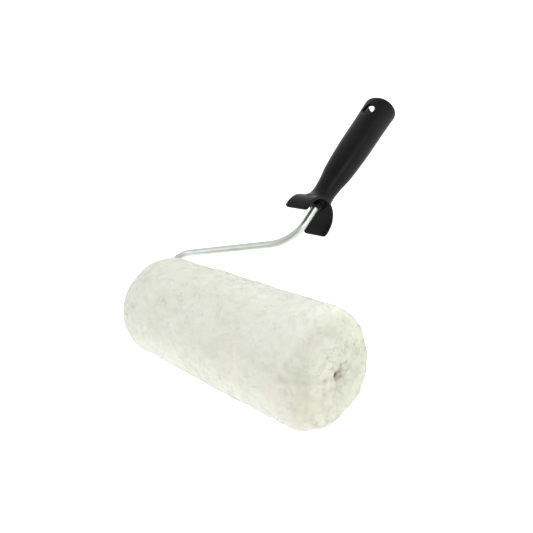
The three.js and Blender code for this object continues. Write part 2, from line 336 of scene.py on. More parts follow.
# deep brushed wool: cream, olive in the depth of the pile, paler at the tips
def wool_material(name, strands):
    n = Nodes(name)
    broad = n.noise(26.0, 3.0, 0.55)
    mid = n.noise(95.0, 3.0, 0.6)
    small = n.noise(420.0, 3.0, 0.6)
    tone = n.math("ADD", n.math("MULTIPLY", broad, 0.5), n.math("ADD", n.math("MULTIPLY", mid, 0.33), n.math("MULTIPLY", small, 0.17)))
    tip = n.ramp(tone, [(0.34, WOOL_GREEN), (0.50, WOOL_CREAM), (0.66, WOOL_WHITE)])
    if strands:
        along = n.attribute("along")
        lock = n.attribute("lock")
        deep = n.mix(n.range(tone, 0.35, 0.65), DEEP_LOW, DEEP_HIGH)
        col = n.mix(n.range(along, 0.30, 0.92), deep, tip)
        col = n.mix(n.range(lock, 0.55, 1.0, 0.0, 0.32), col, (0.90, 0.90, 0.85))
        col = n.mix(n.range(lock, 0.45, 0.0, 0.0, 0.16), col, (0.58, 0.59, 0.48))
        rough = n.range(lock, 0.0, 1.0, 0.78, 0.92)
        normal = n.bump(n.noise(3000.0, 2.0, 0.5), 0.15, 0.0001)
    else:
        col = n.mix(n.range(small, 0.3, 0.7), DEEP_LOW, DEEP_HIGH)
        col = n.mix(0.45, col, tip)
        rough = n.range(mid, 0.3, 0.7, 0.85, 0.95)
        normal = n.bump(n.noise(900.0, 3.0, 0.6), 0.20, 0.0005)
    # faintly pink where the pile is thin; yellow-olive with painted shade in the hollow where it closes over the axle
    col = n.mix(n.attribute("rosy"), col, (0.84, 0.66, 0.56))
    col = n.mix(n.attribute("olive_and_shade"), col, (0.40, 0.34, 0.11))
    # painted shade: olive-grey darkening in the partings of the pile and over the whole free end
    col = n.mix(n.attribute("shade"), col, (0.43, 0.44, 0.33))
    return n.shader(Base_Color=col, Roughness=rough, Sheen_Weight=0.35, Sheen_Roughness=0.45,
                    Sheen_Tint=(1.0, 1.0, 0.97, 1.0), Specular_IOR_Level=0.25, Normal=normal)


DEEP_LOW, DEEP_HIGH = (0.740, 0.755, 0.650), (0.795, 0.805, 0.715)
WOOL_GREEN = (0.745, 0.775, 0.680)
WOOL_CREAM = (0.790, 0.805, 0.715)
WOOL_WHITE = (0.840, 0.842, 0.785)
wool_fibre = wool_material("wool_fibre", True)
wool_skin = wool_material("wool_skin", False)


def cad_material(name, low, high, roughness, metallic=0.0, scale=220.0, bump=0.3, depth=0.0001, stretch=(1, 1, 1), **more):
    n = Nodes(name)
    v = n.mapping(stretch)
    a = n.noise(scale, 4.0, 0.6, vector=v)
    b = n.noise(scale * 6, 3.0, 0.6, vector=v)
    tone = n.math("ADD", n.math("MULTIPLY", a, 0.65), n.math("MULTIPLY", b, 0.35))
    base = n.mix(n.range(tone, 0.36, 0.64), low, high)
    rough = n.range(tone, 0.3, 0.7, roughness - 0.05, roughness + 0.07)
    return n.shader(Base_Color=base, Roughness=rough, Metallic=metallic, Normal=n.bump(tone, bump, depth), **more)


def knit_material():
    """Knitted backing: rows of loops around the tube."""
    n = Nodes("knit")
    parts = n.node("ShaderNodeSeparateXYZ", {"Vector": n.where})
    x, y, z = parts.outputs
    cy = n.math("SUBTRACT", y, AXLE[1] / 1000.0)
    cz = n.math("SUBTRACT", z, AXLE[2] / 1000.0)
    turn = n.math("ARCTAN2", cz, cy)
    course = n.math("SINE", n.math("MULTIPLY", x, 2 * math.pi / 0.0016))
    wale = n.math("SINE", n.math("ADD", n.math("MULTIPLY", turn, 96.0), n.math("MULTIPLY", course, 0.9)))
    loops = n.math("MULTIPLY", n.math("ADD", wale, 1.0), n.math("ADD", course, 1.4))
    fuzz = n.noise(2400.0, 3.0, 0.6)
    tone = n.math("ADD", n.math("MULTIPLY", loops, 0.18), n.math("MULTIPLY", fuzz, 0.4))
    base = n.ramp(tone, [(0.15, (0.42, 0.38, 0.28)), (0.55, (0.68, 0.64, 0.53)), (0.95, (0.80, 0.77, 0.67))])
    return n.shader(Base_Color=base, Roughness=n.range(fuzz, 0.3, 0.7, 0.82, 0.95), Sheen_Weight=0.2,
                    Normal=n.bump(tone, 0.7, 0.0003))


cad_looks = {
    "core_tube": cad_material("tube_plastic", (0.62, 0.58, 0.46), (0.72, 0.68, 0.57), 0.5, stretch=(0.12, 1, 1)),
    "hub_rod_side": cad_material("hub_plastic", (0.50, 0.39, 0.21), (0.60, 0.48, 0.28), 0.46),
    "bush_rod_side": cad_material("nylon", (0.76, 0.74, 0.64), (0.84, 0.82, 0.74), 0.38),
    "stop_washer": cad_material("washer_steel", (0.34, 0.35, 0.35), (0.52, 0.54, 0.53), 0.33, 1.0, 380.0, 0.35),
    "push_nut": cad_material("cap_zinc", (0.42, 0.31, 0.12), (0.56, 0.44, 0.20), 0.32, 1.0, 300.0, 0.3),
    "backing": knit_material(),
}
cad_looks["hub_free_end"] = cad_looks["hub_rod_side"]
cad_looks["bush_free_end"] = cad_looks["bush_rod_side"]
cad_looks["end_washer"] = cad_looks["stop_washer"]
for name, look in cad_looks.items():
    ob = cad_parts[name]
    ob.data.materials.clear()
    ob.data.materials.append(look)

# ------------------------------------------------------------------- wire
ROD_R, ROD_END_X, LEG_X, ROD_TOP_Y, CORNER_Y, SLOPE, WIRE_X = 3.5, 107.0, -134.8, 204.0, 99.8, 0.326, -1.5
EAR_X = -108.1


def wire_stations():
    corners = np.array([[WIRE_X, ROD_TOP_Y], [WIRE_X, CORNER_Y], [LEG_X, CORNER_Y + SLOPE * (LEG_X - WIRE_X)], [LEG_X, 0], [ROD_END_X, 0]], float)
    radii = [32.0, 22.0, 16.0]
    pts, tan = [], []

    def run(a, b):
        d = (b - a) / np.linalg.norm(b - a)
        k = max(1, int(np.linalg.norm(b - a) / 2.5))
        for s in np.linspace(0, 1, k, endpoint=False):
            pts.append(a + (b - a) * s)
            tan.append(d)

    here = corners[0]
    for i in range(1, len(corners) - 1):
        p = corners[i]
        a = (p - corners[i - 1]) / np.linalg.norm(p - corners[i - 1])
        b = (corners[i + 1] - p) / np.linalg.norm(corners[i + 1] - p)
        turn = math.acos(np.clip(a @ b, -1, 1))
        r = radii[i - 1]
        start = p - a * r * math.tan(turn / 2)
        side = b - a * (b @ a)
        side /= np.linalg.norm(side)
        centre = start + side * r
        run(here, start)
        steps = max(8, int(turn * r / 1.2))
        for s in np.linspace(0, turn, steps, endpoint=False):
            pts.append(centre - side * r * math.cos(s) + a * r * math.sin(s))
            tan.append(a * math.cos(s) + side * math.sin(s))
        here = centre - side * r * math.cos(turn) + a * r * math.sin(turn)
    last = corners[-1]
    stops = np.arange(here[0], last[0], 2.5)
    fine = np.arange(EAR_X - 5.0, EAR_X + 5.01, 0.35)
    stops = np.sort(np.concatenate([stops[(stops < fine[0] - 0.5) | (stops > fine[-1] + 0.5)], fine, [last[0]]]))
    for x in stops:
        pts.append(np.array([x, 0.0]))
        tan.append(np.array([1.0, 0.0]))
    return np.array(pts), np.array(tan)


def make_rod():
    pts, tan = wire_stations()
    gaps = np.linalg.norm(np.diff(pts, axis=0), axis=1)
    keep = np.concatenate([[True], gaps > 1e-4])
    pts, tan = pts[keep], tan[keep]
    side = np.stack([-tan[:, 1], tan[:, 0]], 1)
    m = 36
    turn = np.linspace(0, 2 * math.pi, m, endpoint=False)
    rings, along = [], []
    length = np.concatenate([[0], np.cumsum(np.linalg.norm(np.diff(pts, axis=0), axis=1))])
    total = length[-1]

    def ring(c, s, a, b):
        p = np.zeros((m, 3))
        p[:, 0] = c[0] + s[0] * a * np.cos(turn)
        p[:, 1] = c[1] + s[1] * a * np.cos(turn)
        p[:, 2] = b * np.sin(turn)
        return p

    def end(c, t, s, sign, at):
        got = []
        for back, r in ((0.0, 2.75), (0.05, 2.95), (0.22, 3.2), (0.5, 3.4), (0.9, 3.5)):
            got.append((ring(c + t * back * sign, s, r, r), at + back * sign))
        return got

    first = end(pts[0], tan[0], side[0], 1, 0.0)
    final = end(pts[-1], tan[-1], side[-1], -1, total)[::-1]
    for p, l in first:
        rings.append(p); along.append(l)
    for p, t, s, l in zip(pts, tan, side, length):
        if l < 1.6 or l > total - 1.6:
            continue
        a = b = ROD_R
        d = abs(p[0] - EAR_X)
        if abs(p[1]) < 1e-6 and d < 4.2:
            bulge = math.sqrt(max(0.0, 1 - (d / 2.9) ** 2)) if d < 2.9 else 0.0
            soft = 0.5 + 0.5 * math.cos(math.pi * d / 4.2)
            bulge = 0.8 * bulge + 0.2 * soft
            b = ROD_R + 2.6 * bulge
            a = ROD_R - 0.95 * bulge
        rings.append(ring(p, s, a, b)); along.append(l)
    for p, l in final:
        rings.append(p); along.append(l)
    co, faces = tube(rings)
    ob = outward(build("wire_frame", row(co), faces))
    # bake map: once around in u, along the wire in v
    me = ob.data
    uv = me.uv_layers.new(name="OFBake")
    loops = np.empty(len(me.loops), np.int32)
    me.loops.foreach_get("vertex_index", loops)
    n_ring = len(rings) * m
    vu = np.zeros((len(me.vertices), 2))
    idx = np.arange(n_ring)
    vu[:n_ring, 0] = (idx % m) / m
    vu[:n_ring, 1] = np.array(along)[idx // m] / total
    vu[n_ring:, 0] = 0.5
    vu[n_ring:, 1] = [0.0, 1.0][: len(me.vertices) - n_ring]
    luv = vu[loops]
    start = np.empty(len(me.polygons), np.int32)
    me.polygons.foreach_get("loop_start", start)
    for s0, s1 in zip(start, list(start[1:]) + [len(loops)]):
        u = luv[s0:s1, 0]
        if u.max() - u.min() > 0.5 and (vu[loops[s0:s1], 0] != 0.5).all():
            luv[s0:s1, 0] = np.where(u < 0.5, u + 1.0, u)
    luv[:, 0] = luv[:, 0] * 0.965 + 0.004
    luv[:, 1] = luv[:, 1] * 0.99 + 0.005
    uv.data.foreach_set("uv", luv.astype(np.float32).ravel())
    me.materials.append(zinc_wire)
    return ob


# ----------------------------------------------------------------- handle
HANDLE_X = -2.7
GUARD_LOW_Y, GUARD_ARCH_Y, GUARD_TOP_Y, GUARD_HALF_W, GUARD_T, GUARD_DEPTH = 124.2, 128.0, 150.0, 20.4, 2.5, 27.0
BOSS_LOW_Y, BOSS_R, ROD_HOLE_R, HANG_Y, HANG_R = 141.0, 6.5, 3.8, 258.4, 6.6
GRIP = np.array([
    [141.5, 12.3, 17.0], [144.5, 12.4, 15.8], [147.0, 12.1, 13.8], [149.5, 11.7, 12.2], [152.5, 11.2, 11.0],
    [156.0, 10.85, 10.3], [160.0, 10.75, 10.0], [167.0, 11.2, 10.4], [174.0, 12.0, 11.0], [180.5, 13.1, 12.0],
    [187.5, 13.95, 12.85], [194.0, 14.5, 13.25], [201.0, 14.9, 13.6], [208.0, 15.3, 13.95],
    [215.0, 15.6, 14.25], [222.0, 15.75, 14.4], [242.0, 16.0, 14.65], [256.0, 16.3, 14.85],
    [266.0, 16.6, 15.1], [271.5, 16.9, 15.35], [273.6, 16.8, 15.25], [275.0, 16.2, 14.7], [275.6, 15.5, 14.0]])
GRIP_POWER = 2.15
SOCKET = np.array([[212.0, 11.0, 10.1], [244.0, 12.5, 11.3], [271.0, 13.6, 12.2], [276.2, 13.8, 12.4]])


def oval_rings(ys, a, b, power, m):
    turn = np.linspace(0, 2 * math.pi, m, endpoint=False)
    c, s = np.cos(turn), np.sin(turn)
    k = (np.abs(c) ** power + np.abs(s) ** power) ** (-1 / power)
    return np.stack([np.stack([x * c * k, np.full(m, y), z * s * k], 1) for y, x, z in zip(ys, a, b)])


def prism(outline, lo, hi, axis):
    """Closed prism of a 2-D outline; axis 0 takes (z, y) along X, axis 2 takes (x, y) along Z."""
    outline = np.asarray(outline, float)
    rings = []
    for h in (lo, hi):
        p = np.zeros((len(outline), 3))
        if axis == 0:
            p[:, 0], p[:, 1], p[:, 2] = h, outline[:, 1], outline[:, 0]
        else:
            p[:, 0], p[:, 1], p[:, 2] = outline[:, 0], outline[:, 1], h
        rings.append(p)
    m = len(outline)
    co = np.vstack(rings)
    j = np.arange(m)
    k = (j + 1) % m
    me = bpy.data.meshes.new("prism")
    faces = [list(map(int, f)) for f in np.stack([j, k, m + k, m + j], 1)] + [list(range(m))[::-1], list(range(m, 2 * m))]
    me.from_pydata([tuple(p) for p in co], [], faces)
    me.update()
    ob = bpy.data.objects.new("prism", me)
    scene.collection.objects.link(ob)
    return outward(ob)


def arch(half, height, low, power=2.2, steps=96):
    a = np.linspace(math.pi, 0, steps + 1)
    c, s = np.cos(a), np.sin(a)
    k = (np.abs(c) ** power + np.abs(s) ** power) ** (-1 / power)
    mid = np.stack([half * c * k, GUARD_ARCH_Y + height * s * k], 1)
    return np.vstack([[-half, low], mid, [half, low]])


def round_bar(x, z_axis, y0, y1, r, m=64):
    ys = (y0, y1)
    return outward(build("bar", *tube(oval_rings(ys, (r, r), (r, r), 2, m) + np.array([x, 0, z_axis]))))


def make_handle():
    ys = np.unique(np.concatenate([np.linspace(141.5, 160, 40), np.linspace(160, 271.5, 70), np.linspace(271.5, 275.6, 14)]))
    a = pchip(GRIP[:, 0], GRIP[:, 1], ys)
    b = pchip(GRIP[:, 0], GRIP[:, 2], ys)
    grip = outward(build("handle_body", *tube(oval_rings(ys, a, b, GRIP_POWER, 128))))
    h, r = GUARD_DEPTH / 2, 3.0
    q = np.linspace(0, math.pi / 2, 12)
    plan = np.vstack([
        np.stack([h - r + r * np.sin(q), GUARD_LOW_Y + r - r * np.cos(q)], 1),
        [[h, 156.0], [-h, 156.0]],
        np.stack([-h + r - r * np.cos(q), GUARD_LOW_Y + r - r * np.sin(q)], 1),
    ])
    guard = prism(arch(GUARD_HALF_W, GUARD_TOP_Y - GUARD_ARCH_Y, GUARD_LOW_Y), -h, h, 0)
    guard = combine(guard, prism(plan, -40, 40, 2), "INTERSECT")
    body = combine(grip, guard, "UNION")
    body = combine(body, prism(arch(GUARD_HALF_W - GUARD_T, GUARD_TOP_Y - GUARD_ARCH_Y - GUARD_T, GUARD_LOW_Y - 3), -25, 25, 0), "DIFFERENCE")
    body = combine(body, round_bar(WIRE_X - HANDLE_X, 0, BOSS_LOW_Y, GUARD_TOP_Y, BOSS_R), "UNION")
    body = combine(body, round_bar(WIRE_X - HANDLE_X, 0, BOSS_LOW_Y - 5, ROD_TOP_Y + 0.5, ROD_HOLE_R), "DIFFERENCE")
    sy = np.linspace(SOCKET[0, 0], SOCKET[-1, 0], 40)
    sa, sb = pchip(SOCKET[:, 0], SOCKET[:, 1], sy), pchip(SOCKET[:, 0], SOCKET[:, 2], sy)
    body = combine(body, outward(build("socket", *tube(oval_rings(sy, sa, sb, 2, 96)))), "DIFFERENCE")
    hang = tube(np.stack([np.stack([HANG_R * np.cos(t), HANG_Y + HANG_R * np.sin(t), np.full_like(t, z)], 1)
                          for t in [np.linspace(0, 2 * math.pi, 72, endpoint=False)] for z in (-30, 30)]))
    body = combine(body, outward(build("hang", *hang)), "DIFFERENCE")
    m = body.modifiers.new("even", "REMESH")
    m.mode = "VOXEL"
    m.voxel_size = 0.56
    m.adaptivity = 0.0
    m = body.modifiers.new("soften", "SMOOTH")
    m.factor, m.iterations = 0.5, 7
    evaluated(body)
    # back onto the exact moulded surfaces, away from the rounded edges
    p = coords(body)
    x, y, z = p.T
    ca, cb = pchip(GRIP[:, 0], GRIP[:, 1], y), pchip(GRIP[:, 0], GRIP[:, 2], y)
    level = (np.abs(x / ca) ** GRIP_POWER + np.abs(z / cb) ** GRIP_POWER) ** (1 / GRIP_POWER)
    hang_d = np.hypot(x, y - HANG_Y)
    w = smooth(153.5, 158.0, y) * (1 - smooth(272.2, 274.2, y)) * (np.abs(level - 1) < 0.07) * smooth(HANG_R + 0.7, HANG_R + 2.4, hang_d)
    s = 1 + w * (1 / np.maximum(level, 1e-6) - 1)
    x, z = x * s, z * s
    sa, sb = pchip(SOCKET[:, 0], SOCKET[:, 1], y), pchip(SOCKET[:, 0], SOCKET[:, 2], y)
    level = np.hypot(x / sa, z / sb)
    w = smooth(213.5, 216, y) * (1 - smooth(272.5, 274.5, y)) * (np.abs(level - 1) < 0.07) * smooth(HANG_R + 0.7, HANG_R + 2.4, hang_d)
    s = 1 + w * (1 / np.maximum(level, 1e-6) - 1)
    x, z = x * s, z * s
    dx = x - (WIRE_X - HANDLE_X)
    rr = np.hypot(dx, z)
    near = (np.abs(rr - ROD_HOLE_R) < 0.8) & (y < 203.8)
    s = np.where(near, (ROD_HOLE_R + 0.05) / np.maximum(rr, 1e-6), 1.0)
    x, z = dx * s + (WIRE_X - HANDLE_X), z * s
    set_coords(body, row(np.stack([x + HANDLE_X, y, z], 1)))
    body.data.polygons.foreach_set("use_smooth", np.ones(len(body.data.polygons), bool))
    body.data.materials.clear()
    body.data.materials.append(handle_plastic)
    body.name = "handle_body"
    body.data.name = "handle_body"
    return body


# ----------------------------------------------------------------- fleece
FLEECE_R, FLEECE_HALF, FLEECE_ROUND, LIP_X, BORE_R, DIMPLE_R = 47.5, 115.5, 23.0, 102.9, 26.8, 8.5


def outer_profile(drawn_in):
    """(x, r) along the outside, from the -X lip to the +X lip, evenly spaced by arc length.
    drawn_in closes the pile over the axle's free end; without it both ends have the open lip of the skin."""
    cx, cr = FLEECE_HALF - FLEECE_ROUND, FLEECE_R - FLEECE_ROUND
    a = np.linspace(0, math.pi / 2, 40)
    end = np.stack([cx + FLEECE_ROUND * np.sin(a), cr + FLEECE_ROUND * np.cos(a)], 1)
    end = np.vstack([end, [[115.3, 21.5], [114.9, 18.6], [114.0, 15.8], [112.6, 13.2], [110.6, 11.0], [108.2, 9.4], [105.8, 8.7], [LIP_X, 8.5]]])
    free = end
    if drawn_in:
        free = np.vstack([end[:40], [[115.45, 21.5], [115.35, 17.8], [115.15, 14.0], [114.8, 10.4], [114.3, 7.4], [113.5, 5.0], [112.4, 3.1], [110.9, 2.0]]])
    pts = np.vstack([(end * [-1, 1])[::-1], free])
    s = np.concatenate([[0], np.cumsum(np.linalg.norm(np.diff(pts, axis=0), axis=1))])
    at = np.linspace(0, s[-1], 1200)
    return np.stack([np.interp(at, s, pts[:, 0]), np.interp(at, s, pts[:, 1])], 1), at


PROFILE, ARC = outer_profile(True)
SKIN, SKIN_ARC = outer_profile(False)


def slopes_of(profile, arc):
    out = np.gradient(profile, arc, axis=0)
    for _ in range(6):
        out[1:-1] = (out[:-2] + out[1:-1] + out[2:]) / 3
    return out / np.linalg.norm(out, axis=1, keepdims=True)


SLOPES, SKIN_SLOPES = slopes_of(PROFILE, ARC), slopes_of(SKIN, SKIN_ARC)


def on_fleece(s, turn, profile=None, arc=None, slopes=None):
    """Point, outward normal, tangent along the profile and around, on the pile's outer surface."""
    profile = PROFILE if profile is None else profile
    arc = ARC if arc is None else arc
    slopes = SLOPES if slopes is None else slopes
    x, r = np.interp(s, arc, profile[:, 0]), np.interp(s, arc, profile[:, 1])
    tx, tr = np.interp(s, arc, slopes[:, 0]), np.interp(s, arc, slopes[:, 1])
    c, d = np.cos(turn), np.sin(turn)
    p = np.stack([x, r * c, r * d], 1)
    t = np.stack([tx, tr * c, tr * d], 1)
    n_ = np.stack([-tr, tx * c, tx * d], 1)
    around = np.stack([np.zeros_like(c), -d, c], 1)
    return p, unit(n_), unit(t), around


def swell(p):
    """Unevenness of the brushed pile, in millimetres outward."""
    calm = np.where(p[:, 0] > 0, smooth(5.0, 15.0, np.hypot(p[:, 1], p[:, 2])), 1.0)
    # the lower rim of the free end is the most ruffled
    ruffled = smooth(88.0, 108.0, p[:, 0]) * smooth(14.0, -10.0, p[:, 2]) * smooth(16.0, 30.0, np.hypot(p[:, 1], p[:, 2]))
    out = calm * (0.5 * noise(p, 26.0, 11) + 0.65 * noise(p, 12.0, 21) + (0.60 + 0.30 * ruffled) * noise(p, 6.5, 31)
                  + 0.70 * ruffled * noise(p, 4.2, 37))
    # pressed a little flat where the roller lies on the table
    return np.minimum(out, row(p)[:, 2] * 1000.0 - 0.3)


CREASES = [
    ([(97, -28.6, 37.4), (106.4, -25.4, 34.5), (112.3, -21.7, 29), (115.5, -16.1, 19.5), (114.8, -11, 12)], 2.4, 0.85),
    ([(101, -20.5, 41), (106.5, -21.5, 36.5), (112, -18.6, 31), (114.8, -14, 24)], 2.2, 0.5),
    ([(106, 14, 40.5), (110, 16, 35), (113, 18.3, 30), (115.4, 19.3, 18.7)], 4.0, 0.5),
    ([(114.2, -27.5, 20), (115.3, -24.4, 6.4), (114.9, -17.6, 0.4)], 3.0, 0.55),
    ([(92, -22, 42.0), (80, -27.6, 38.6), (70, -22, 42)], 3.2, 0.45),
]


def crease(p):
    """How much a point lies in one of the partings of the pile, 0..1, by (points, half width, depth)."""
    out = np.zeros(len(p))
    for line, width, depth in CREASES:
        line = np.asarray(line, float)
        best = np.full(len(p), 1e9)
        for a, b in zip(line[:-1], line[1:]):
            d = b - a
            t = np.clip(((p - a) @ d) / (d @ d), 0, 1)
            best = np.minimum(best, np.linalg.norm(p - a - t[:, None] * d, axis=1))
        out = np.maximum(out, depth * np.exp(-(best / width) ** 2))
    return out


# faint pink places: (centre, size, amount)
ROSY = [((111.0, -33.0, 10.0), 15.0, 0.30), ((114.5, -26.0, 10.0), 8.0, 0.34), ((101.0, -38.0, 28.0), 16.0, 0.16), ((49.0, -31.0, 35.0), 16.0, 0.10)]


def tints(p):
    """Colour weights at points of the pile: rosy (pink patches), stain (yellow-olive tint with painted shade in the
    hollow round the axle), shade (painted shade in the partings and over the whole free end).
    """
    rosy = np.zeros(len(p))
    for at, size, amount in ROSY:
        rosy = np.maximum(rosy, amount * np.exp(-((np.linalg.norm(p - np.array(at), axis=1) / size) ** 2)))
    rosy = rosy * (1 + 0.35 * noise(p, 5.0, 95))
    r = np.hypot(p[:, 1], p[:, 2]) * (1 + 0.18 * noise(p, 3.0, 96))
    # yellow-olive tint and painted shade in the hollow round the axle at the free end
    olive_and_shade = np.where(p[:, 0] > 100, 0.34 * np.exp(-((r / 3.4) ** 2)) + 0.10 * np.exp(-((r / 8.0) ** 2)), 0.0)
    # shade is painted shade: in the partings, and over the whole free end from x = 99 mm
    return dict(rosy=rosy.clip(0, 1), olive_and_shade=olive_and_shade.clip(0, 1), shade=(crease(p) * 0.28 + 0.45 * smooth(99.0, 113.0, p[:, 0])).clip(0, 1))


def write_tints(me, values):
    for key, v in values.items():
        att = me.attributes.new(key, "FLOAT", "POINT")
        att.data.foreach_set("value", np.asarray(v, np.float32))


def make_fleece_base():
    """The felted ground the pile stands on, hidden in the depth of it."""
    inset = 0.54
    m, k = 240, 300
    s = np.linspace(ARC[0], ARC[-1], k)
    turn = np.linspace(0, 2 * math.pi, m, endpoint=False)
    ss, tt = np.meshgrid(s, turn, indexing="ij")
    p, nn, _, _ = on_fleece(ss.ravel(), tt.ravel())
    depth = inset * (1 - 0.30 * smooth(-24.0, -42.0, p[:, 1])) * (1 - 0.20 * smooth(98.0, 112.0, p[:, 0]))
    rr = np.hypot(p[:, 1], p[:, 2])
    depth = depth + crease(p) * 0.9 - 0.95 * swell(p)
    q = p - nn * depth[:, None]
    low = np.abs(q[:, 0]) < LIP_X + 0.4
    q[:, 0] = np.where(low & (rr < 20), np.sign(q[:, 0]) * (LIP_X + 0.4), q[:, 0])
    rings = q.reshape(k, m, 3)
    c, d = np.cos(turn), np.sin(turn)
    tail = []
    for x, r in ((109.05, 2.3), (109.05, 9.6), (LIP_X, 12.5), (LIP_X, 20.0), (LIP_X, BORE_R), (60.0, BORE_R), (0.0, BORE_R), (-60.0, BORE_R), (-LIP_X, BORE_R), (-LIP_X, 20.0), (-LIP_X, 12.5)):
        tail.append(np.stack([np.full(m, x), r * c, r * d], 1))
    rings = np.concatenate([rings, np.array(tail)])
    tint = {key: np.concatenate([v, np.zeros(m * len(tail))]) for key, v in tints(p).items()}
    n = len(rings)
    i = np.arange(n)[:, None] * m
    i2 = ((np.arange(n) + 1) % n)[:, None] * m
    j = np.arange(m)[None, :]
    j2 = (j + 1) % m
    quads = np.stack([i + j, i + j2, i2 + j2, i2 + j], -1).reshape(-1, 4)
    ob = build("fleece_ground", row(rings.reshape(-1, 3)), quads)
    outward(ob)
    write_tints(ob.data, tint)
    ob.data.materials.append(wool_skin)
    return ob


def make_pile(count, tufts, seed=7):
    rng = np.random.default_rng(seed)
    weight = PROFILE[:, 1].copy()
    cdf = np.cumsum(weight)
    cdf = (cdf - cdf[0]) / (cdf[-1] - cdf[0])
    k = np.arange(count)
    u = (0.5 + k * 0.7548776662466927) % 1.0
    v = (0.5 + k * 0.5698402909980532) % 1.0
    s = np.interp(u, cdf, ARC) + rng.normal(0, 0.25, count)
    s = np.clip(s, ARC[0], ARC[-1])
    r_here = np.interp(s, ARC, PROFILE[:, 1])
    turn = v * 2 * math.pi + rng.normal(0, 0.25, count) / r_here
    p, nn, tt, cc = on_fleece(s, turn)
    # tufts
    k = np.arange(tufts)
    us = (0.31 + k * 0.7548776662466927) % 1.0
    vs = (0.17 + k * 0.5698402909980532) % 1.0
    ts = np.clip(np.interp(us, cdf, ARC) + rng.normal(0, 1.0, tufts), ARC[0], ARC[-1])
    tturn = vs * 2 * math.pi + rng.normal(0, 1.0, tufts) / np.interp(ts, ARC, PROFILE[:, 1])
    tp, tn, ttan, tcc = on_fleece(ts, tturn)
    tree = KDTree(tufts)
    warped = tp + 1.3 * noise3(tp, 9.0, 41)
    for i, q in enumerate(warped):
        tree.insert(q, i)
    tree.balance()
    probe = p + 1.3 * noise3(p, 4.0, 51)
    mine = np.array([tree.find(q)[1] for q in probe])

    def lean_of(q, t_, c_, x, r):
        """Direction in which the pile is brushed, as a tangent vector."""
        f = noise(q, 34.0, 61) * 1.3 + noise(q, 12.0, 62) * 0.55 + 0.35
        g = noise(q, 34.0, 63) * 1.3 + noise(q, 12.0, 64) * 0.55 - 0.35
        size = np.sqrt(f * f + g * g) + 1e-6
        size = (0.55 + 0.20 * np.minimum(size, 1.2)) / size * smooth(0.0, 0.12, size)
        lean = (f * size)[:, None] * t_ + (g * size)[:, None] * c_
        # the end pile is drawn in over the hub towards the opening
        inward = smooth(34.0, 18.0, r) * np.sign(x) * (np.abs(x) > 90)
        closing = 1.0 + 0.25 * smooth(17.0, 9.0, r) * (x > 0)
        lean = lean * (1 - 0.75 * np.abs(inward))[:, None] + (closing * inward)[:, None] * t_
        return lean

    tr = np.hypot(tp[:, 1], tp[:, 2])
    t_lean = lean_of(tp, ttan, tcc, tp[:, 0], tr) + 0.08 * (rng.normal(0, 1, (tufts, 1)) * ttan + rng.normal(0, 1, (tufts, 1)) * tcc)
    r = np.hypot(p[:, 1], p[:, 2])
    lean = 0.45 * lean_of(p, tt, cc, p[:, 0], r) + 0.55 * t_lean[mine] + 0.10 * (rng.normal(0, 1, (count, 1)) * tt + rng.normal(0, 1, (count, 1)) * cc)
    # tips: on the swollen envelope, some a little short
    length = 4.6 + rng.normal(0, 0.4, count)
    near_hole = smooth(17.0, 9.0, r)
    length = length * (1 + 0.25 * near_hole * (p[:, 0] > 0) - 0.2 * near_hole * (p[:, 0] < 0))
    short = np.abs(rng.normal(0, 0.12, count)) - 1.20 * rng.random(count) * (rng.random(count) < 0.13)
    t_high = rng.normal(0, 0.05, tufts)
    lift = swell(p) - short + t_high[mine] - crease(p) * 1.0
    lift = np.minimum(lift, row(p)[:, 2] * 1000.0 - 0.1)
    tip = p + nn * lift[:, None]
    tuft_tip = tp + tn * (swell(tp) + t_high + 0.5 - crease(tp))[:, None]
    pull = np.clip(0.05 + 0.05 * rng.normal(0, 1, tufts), 0.0, 0.5)[mine] * np.clip(1 + 0.2 * rng.normal(0, 1, count), 0.3, 1.4)
    gap = tuft_tip[mine] - tip
    far = np.linalg.norm(gap, axis=1)
    pull = pull * smooth(9.0, 4.0, far)
    tip = tip + gap * pull[:, None]
    tip = tip + 0.10 * noise3(tip, 1.6, 71)
    dirn = unit(nn + lean)
    root = tip - dirn * length[:, None] - gap * (pull * 0.75)[:, None]
    # roots stay inside the pile: never beyond the envelope, never through the bore
    mid = root * 0.42 + tip * 0.58 + nn * 0.5 + 0.15 * noise3(tip, 3.0, 81)
    # keep the way clear for the axle, its ears and its cap
    for q in (mid, tip, root):
        rr = np.hypot(q[:, 1], q[:, 2])
        x = q[:, 0]
        keep = np.where(x > 0, 0.9 + 7.0 * smooth(109.9, 109.1, x), np.where(np.abs(x) < 112.5, 7.9, 6.0))
        push = np.where((rr < keep) & (np.abs(x) > 95), keep / np.maximum(rr, 1e-6), 1.0)
        q[:, 1] *= push
        q[:, 2] *= push
    for q in (root, mid):
        rr = np.hypot(q[:, 1], q[:, 2])
        x = q[:, 0]
        inside = (np.abs(x) < LIP_X + 0.6) & (rr < BORE_R + 0.6)
        # move out of the core, along whichever way is shorter
        to_r = BORE_R + 0.6 - rr
        to_x = LIP_X + 0.6 - np.abs(x)
        by_x = inside & (to_x <= to_r)
        by_r = inside & ~by_x
        q[:, 0] = np.where(by_x, np.sign(x) * (LIP_X + 0.6), x)
        f = np.where(by_r, (BORE_R + 0.6) / np.maximum(rr, 1e-6), 1.0)
        q[:, 1] *= f
        q[:, 2] *= f
    return dict(root=root, mid=mid, tip=tip, normal=nn, mine=mine, centre=tuft_tip, rng=rng, tint=tints(tip), count=count, tufts=tufts)


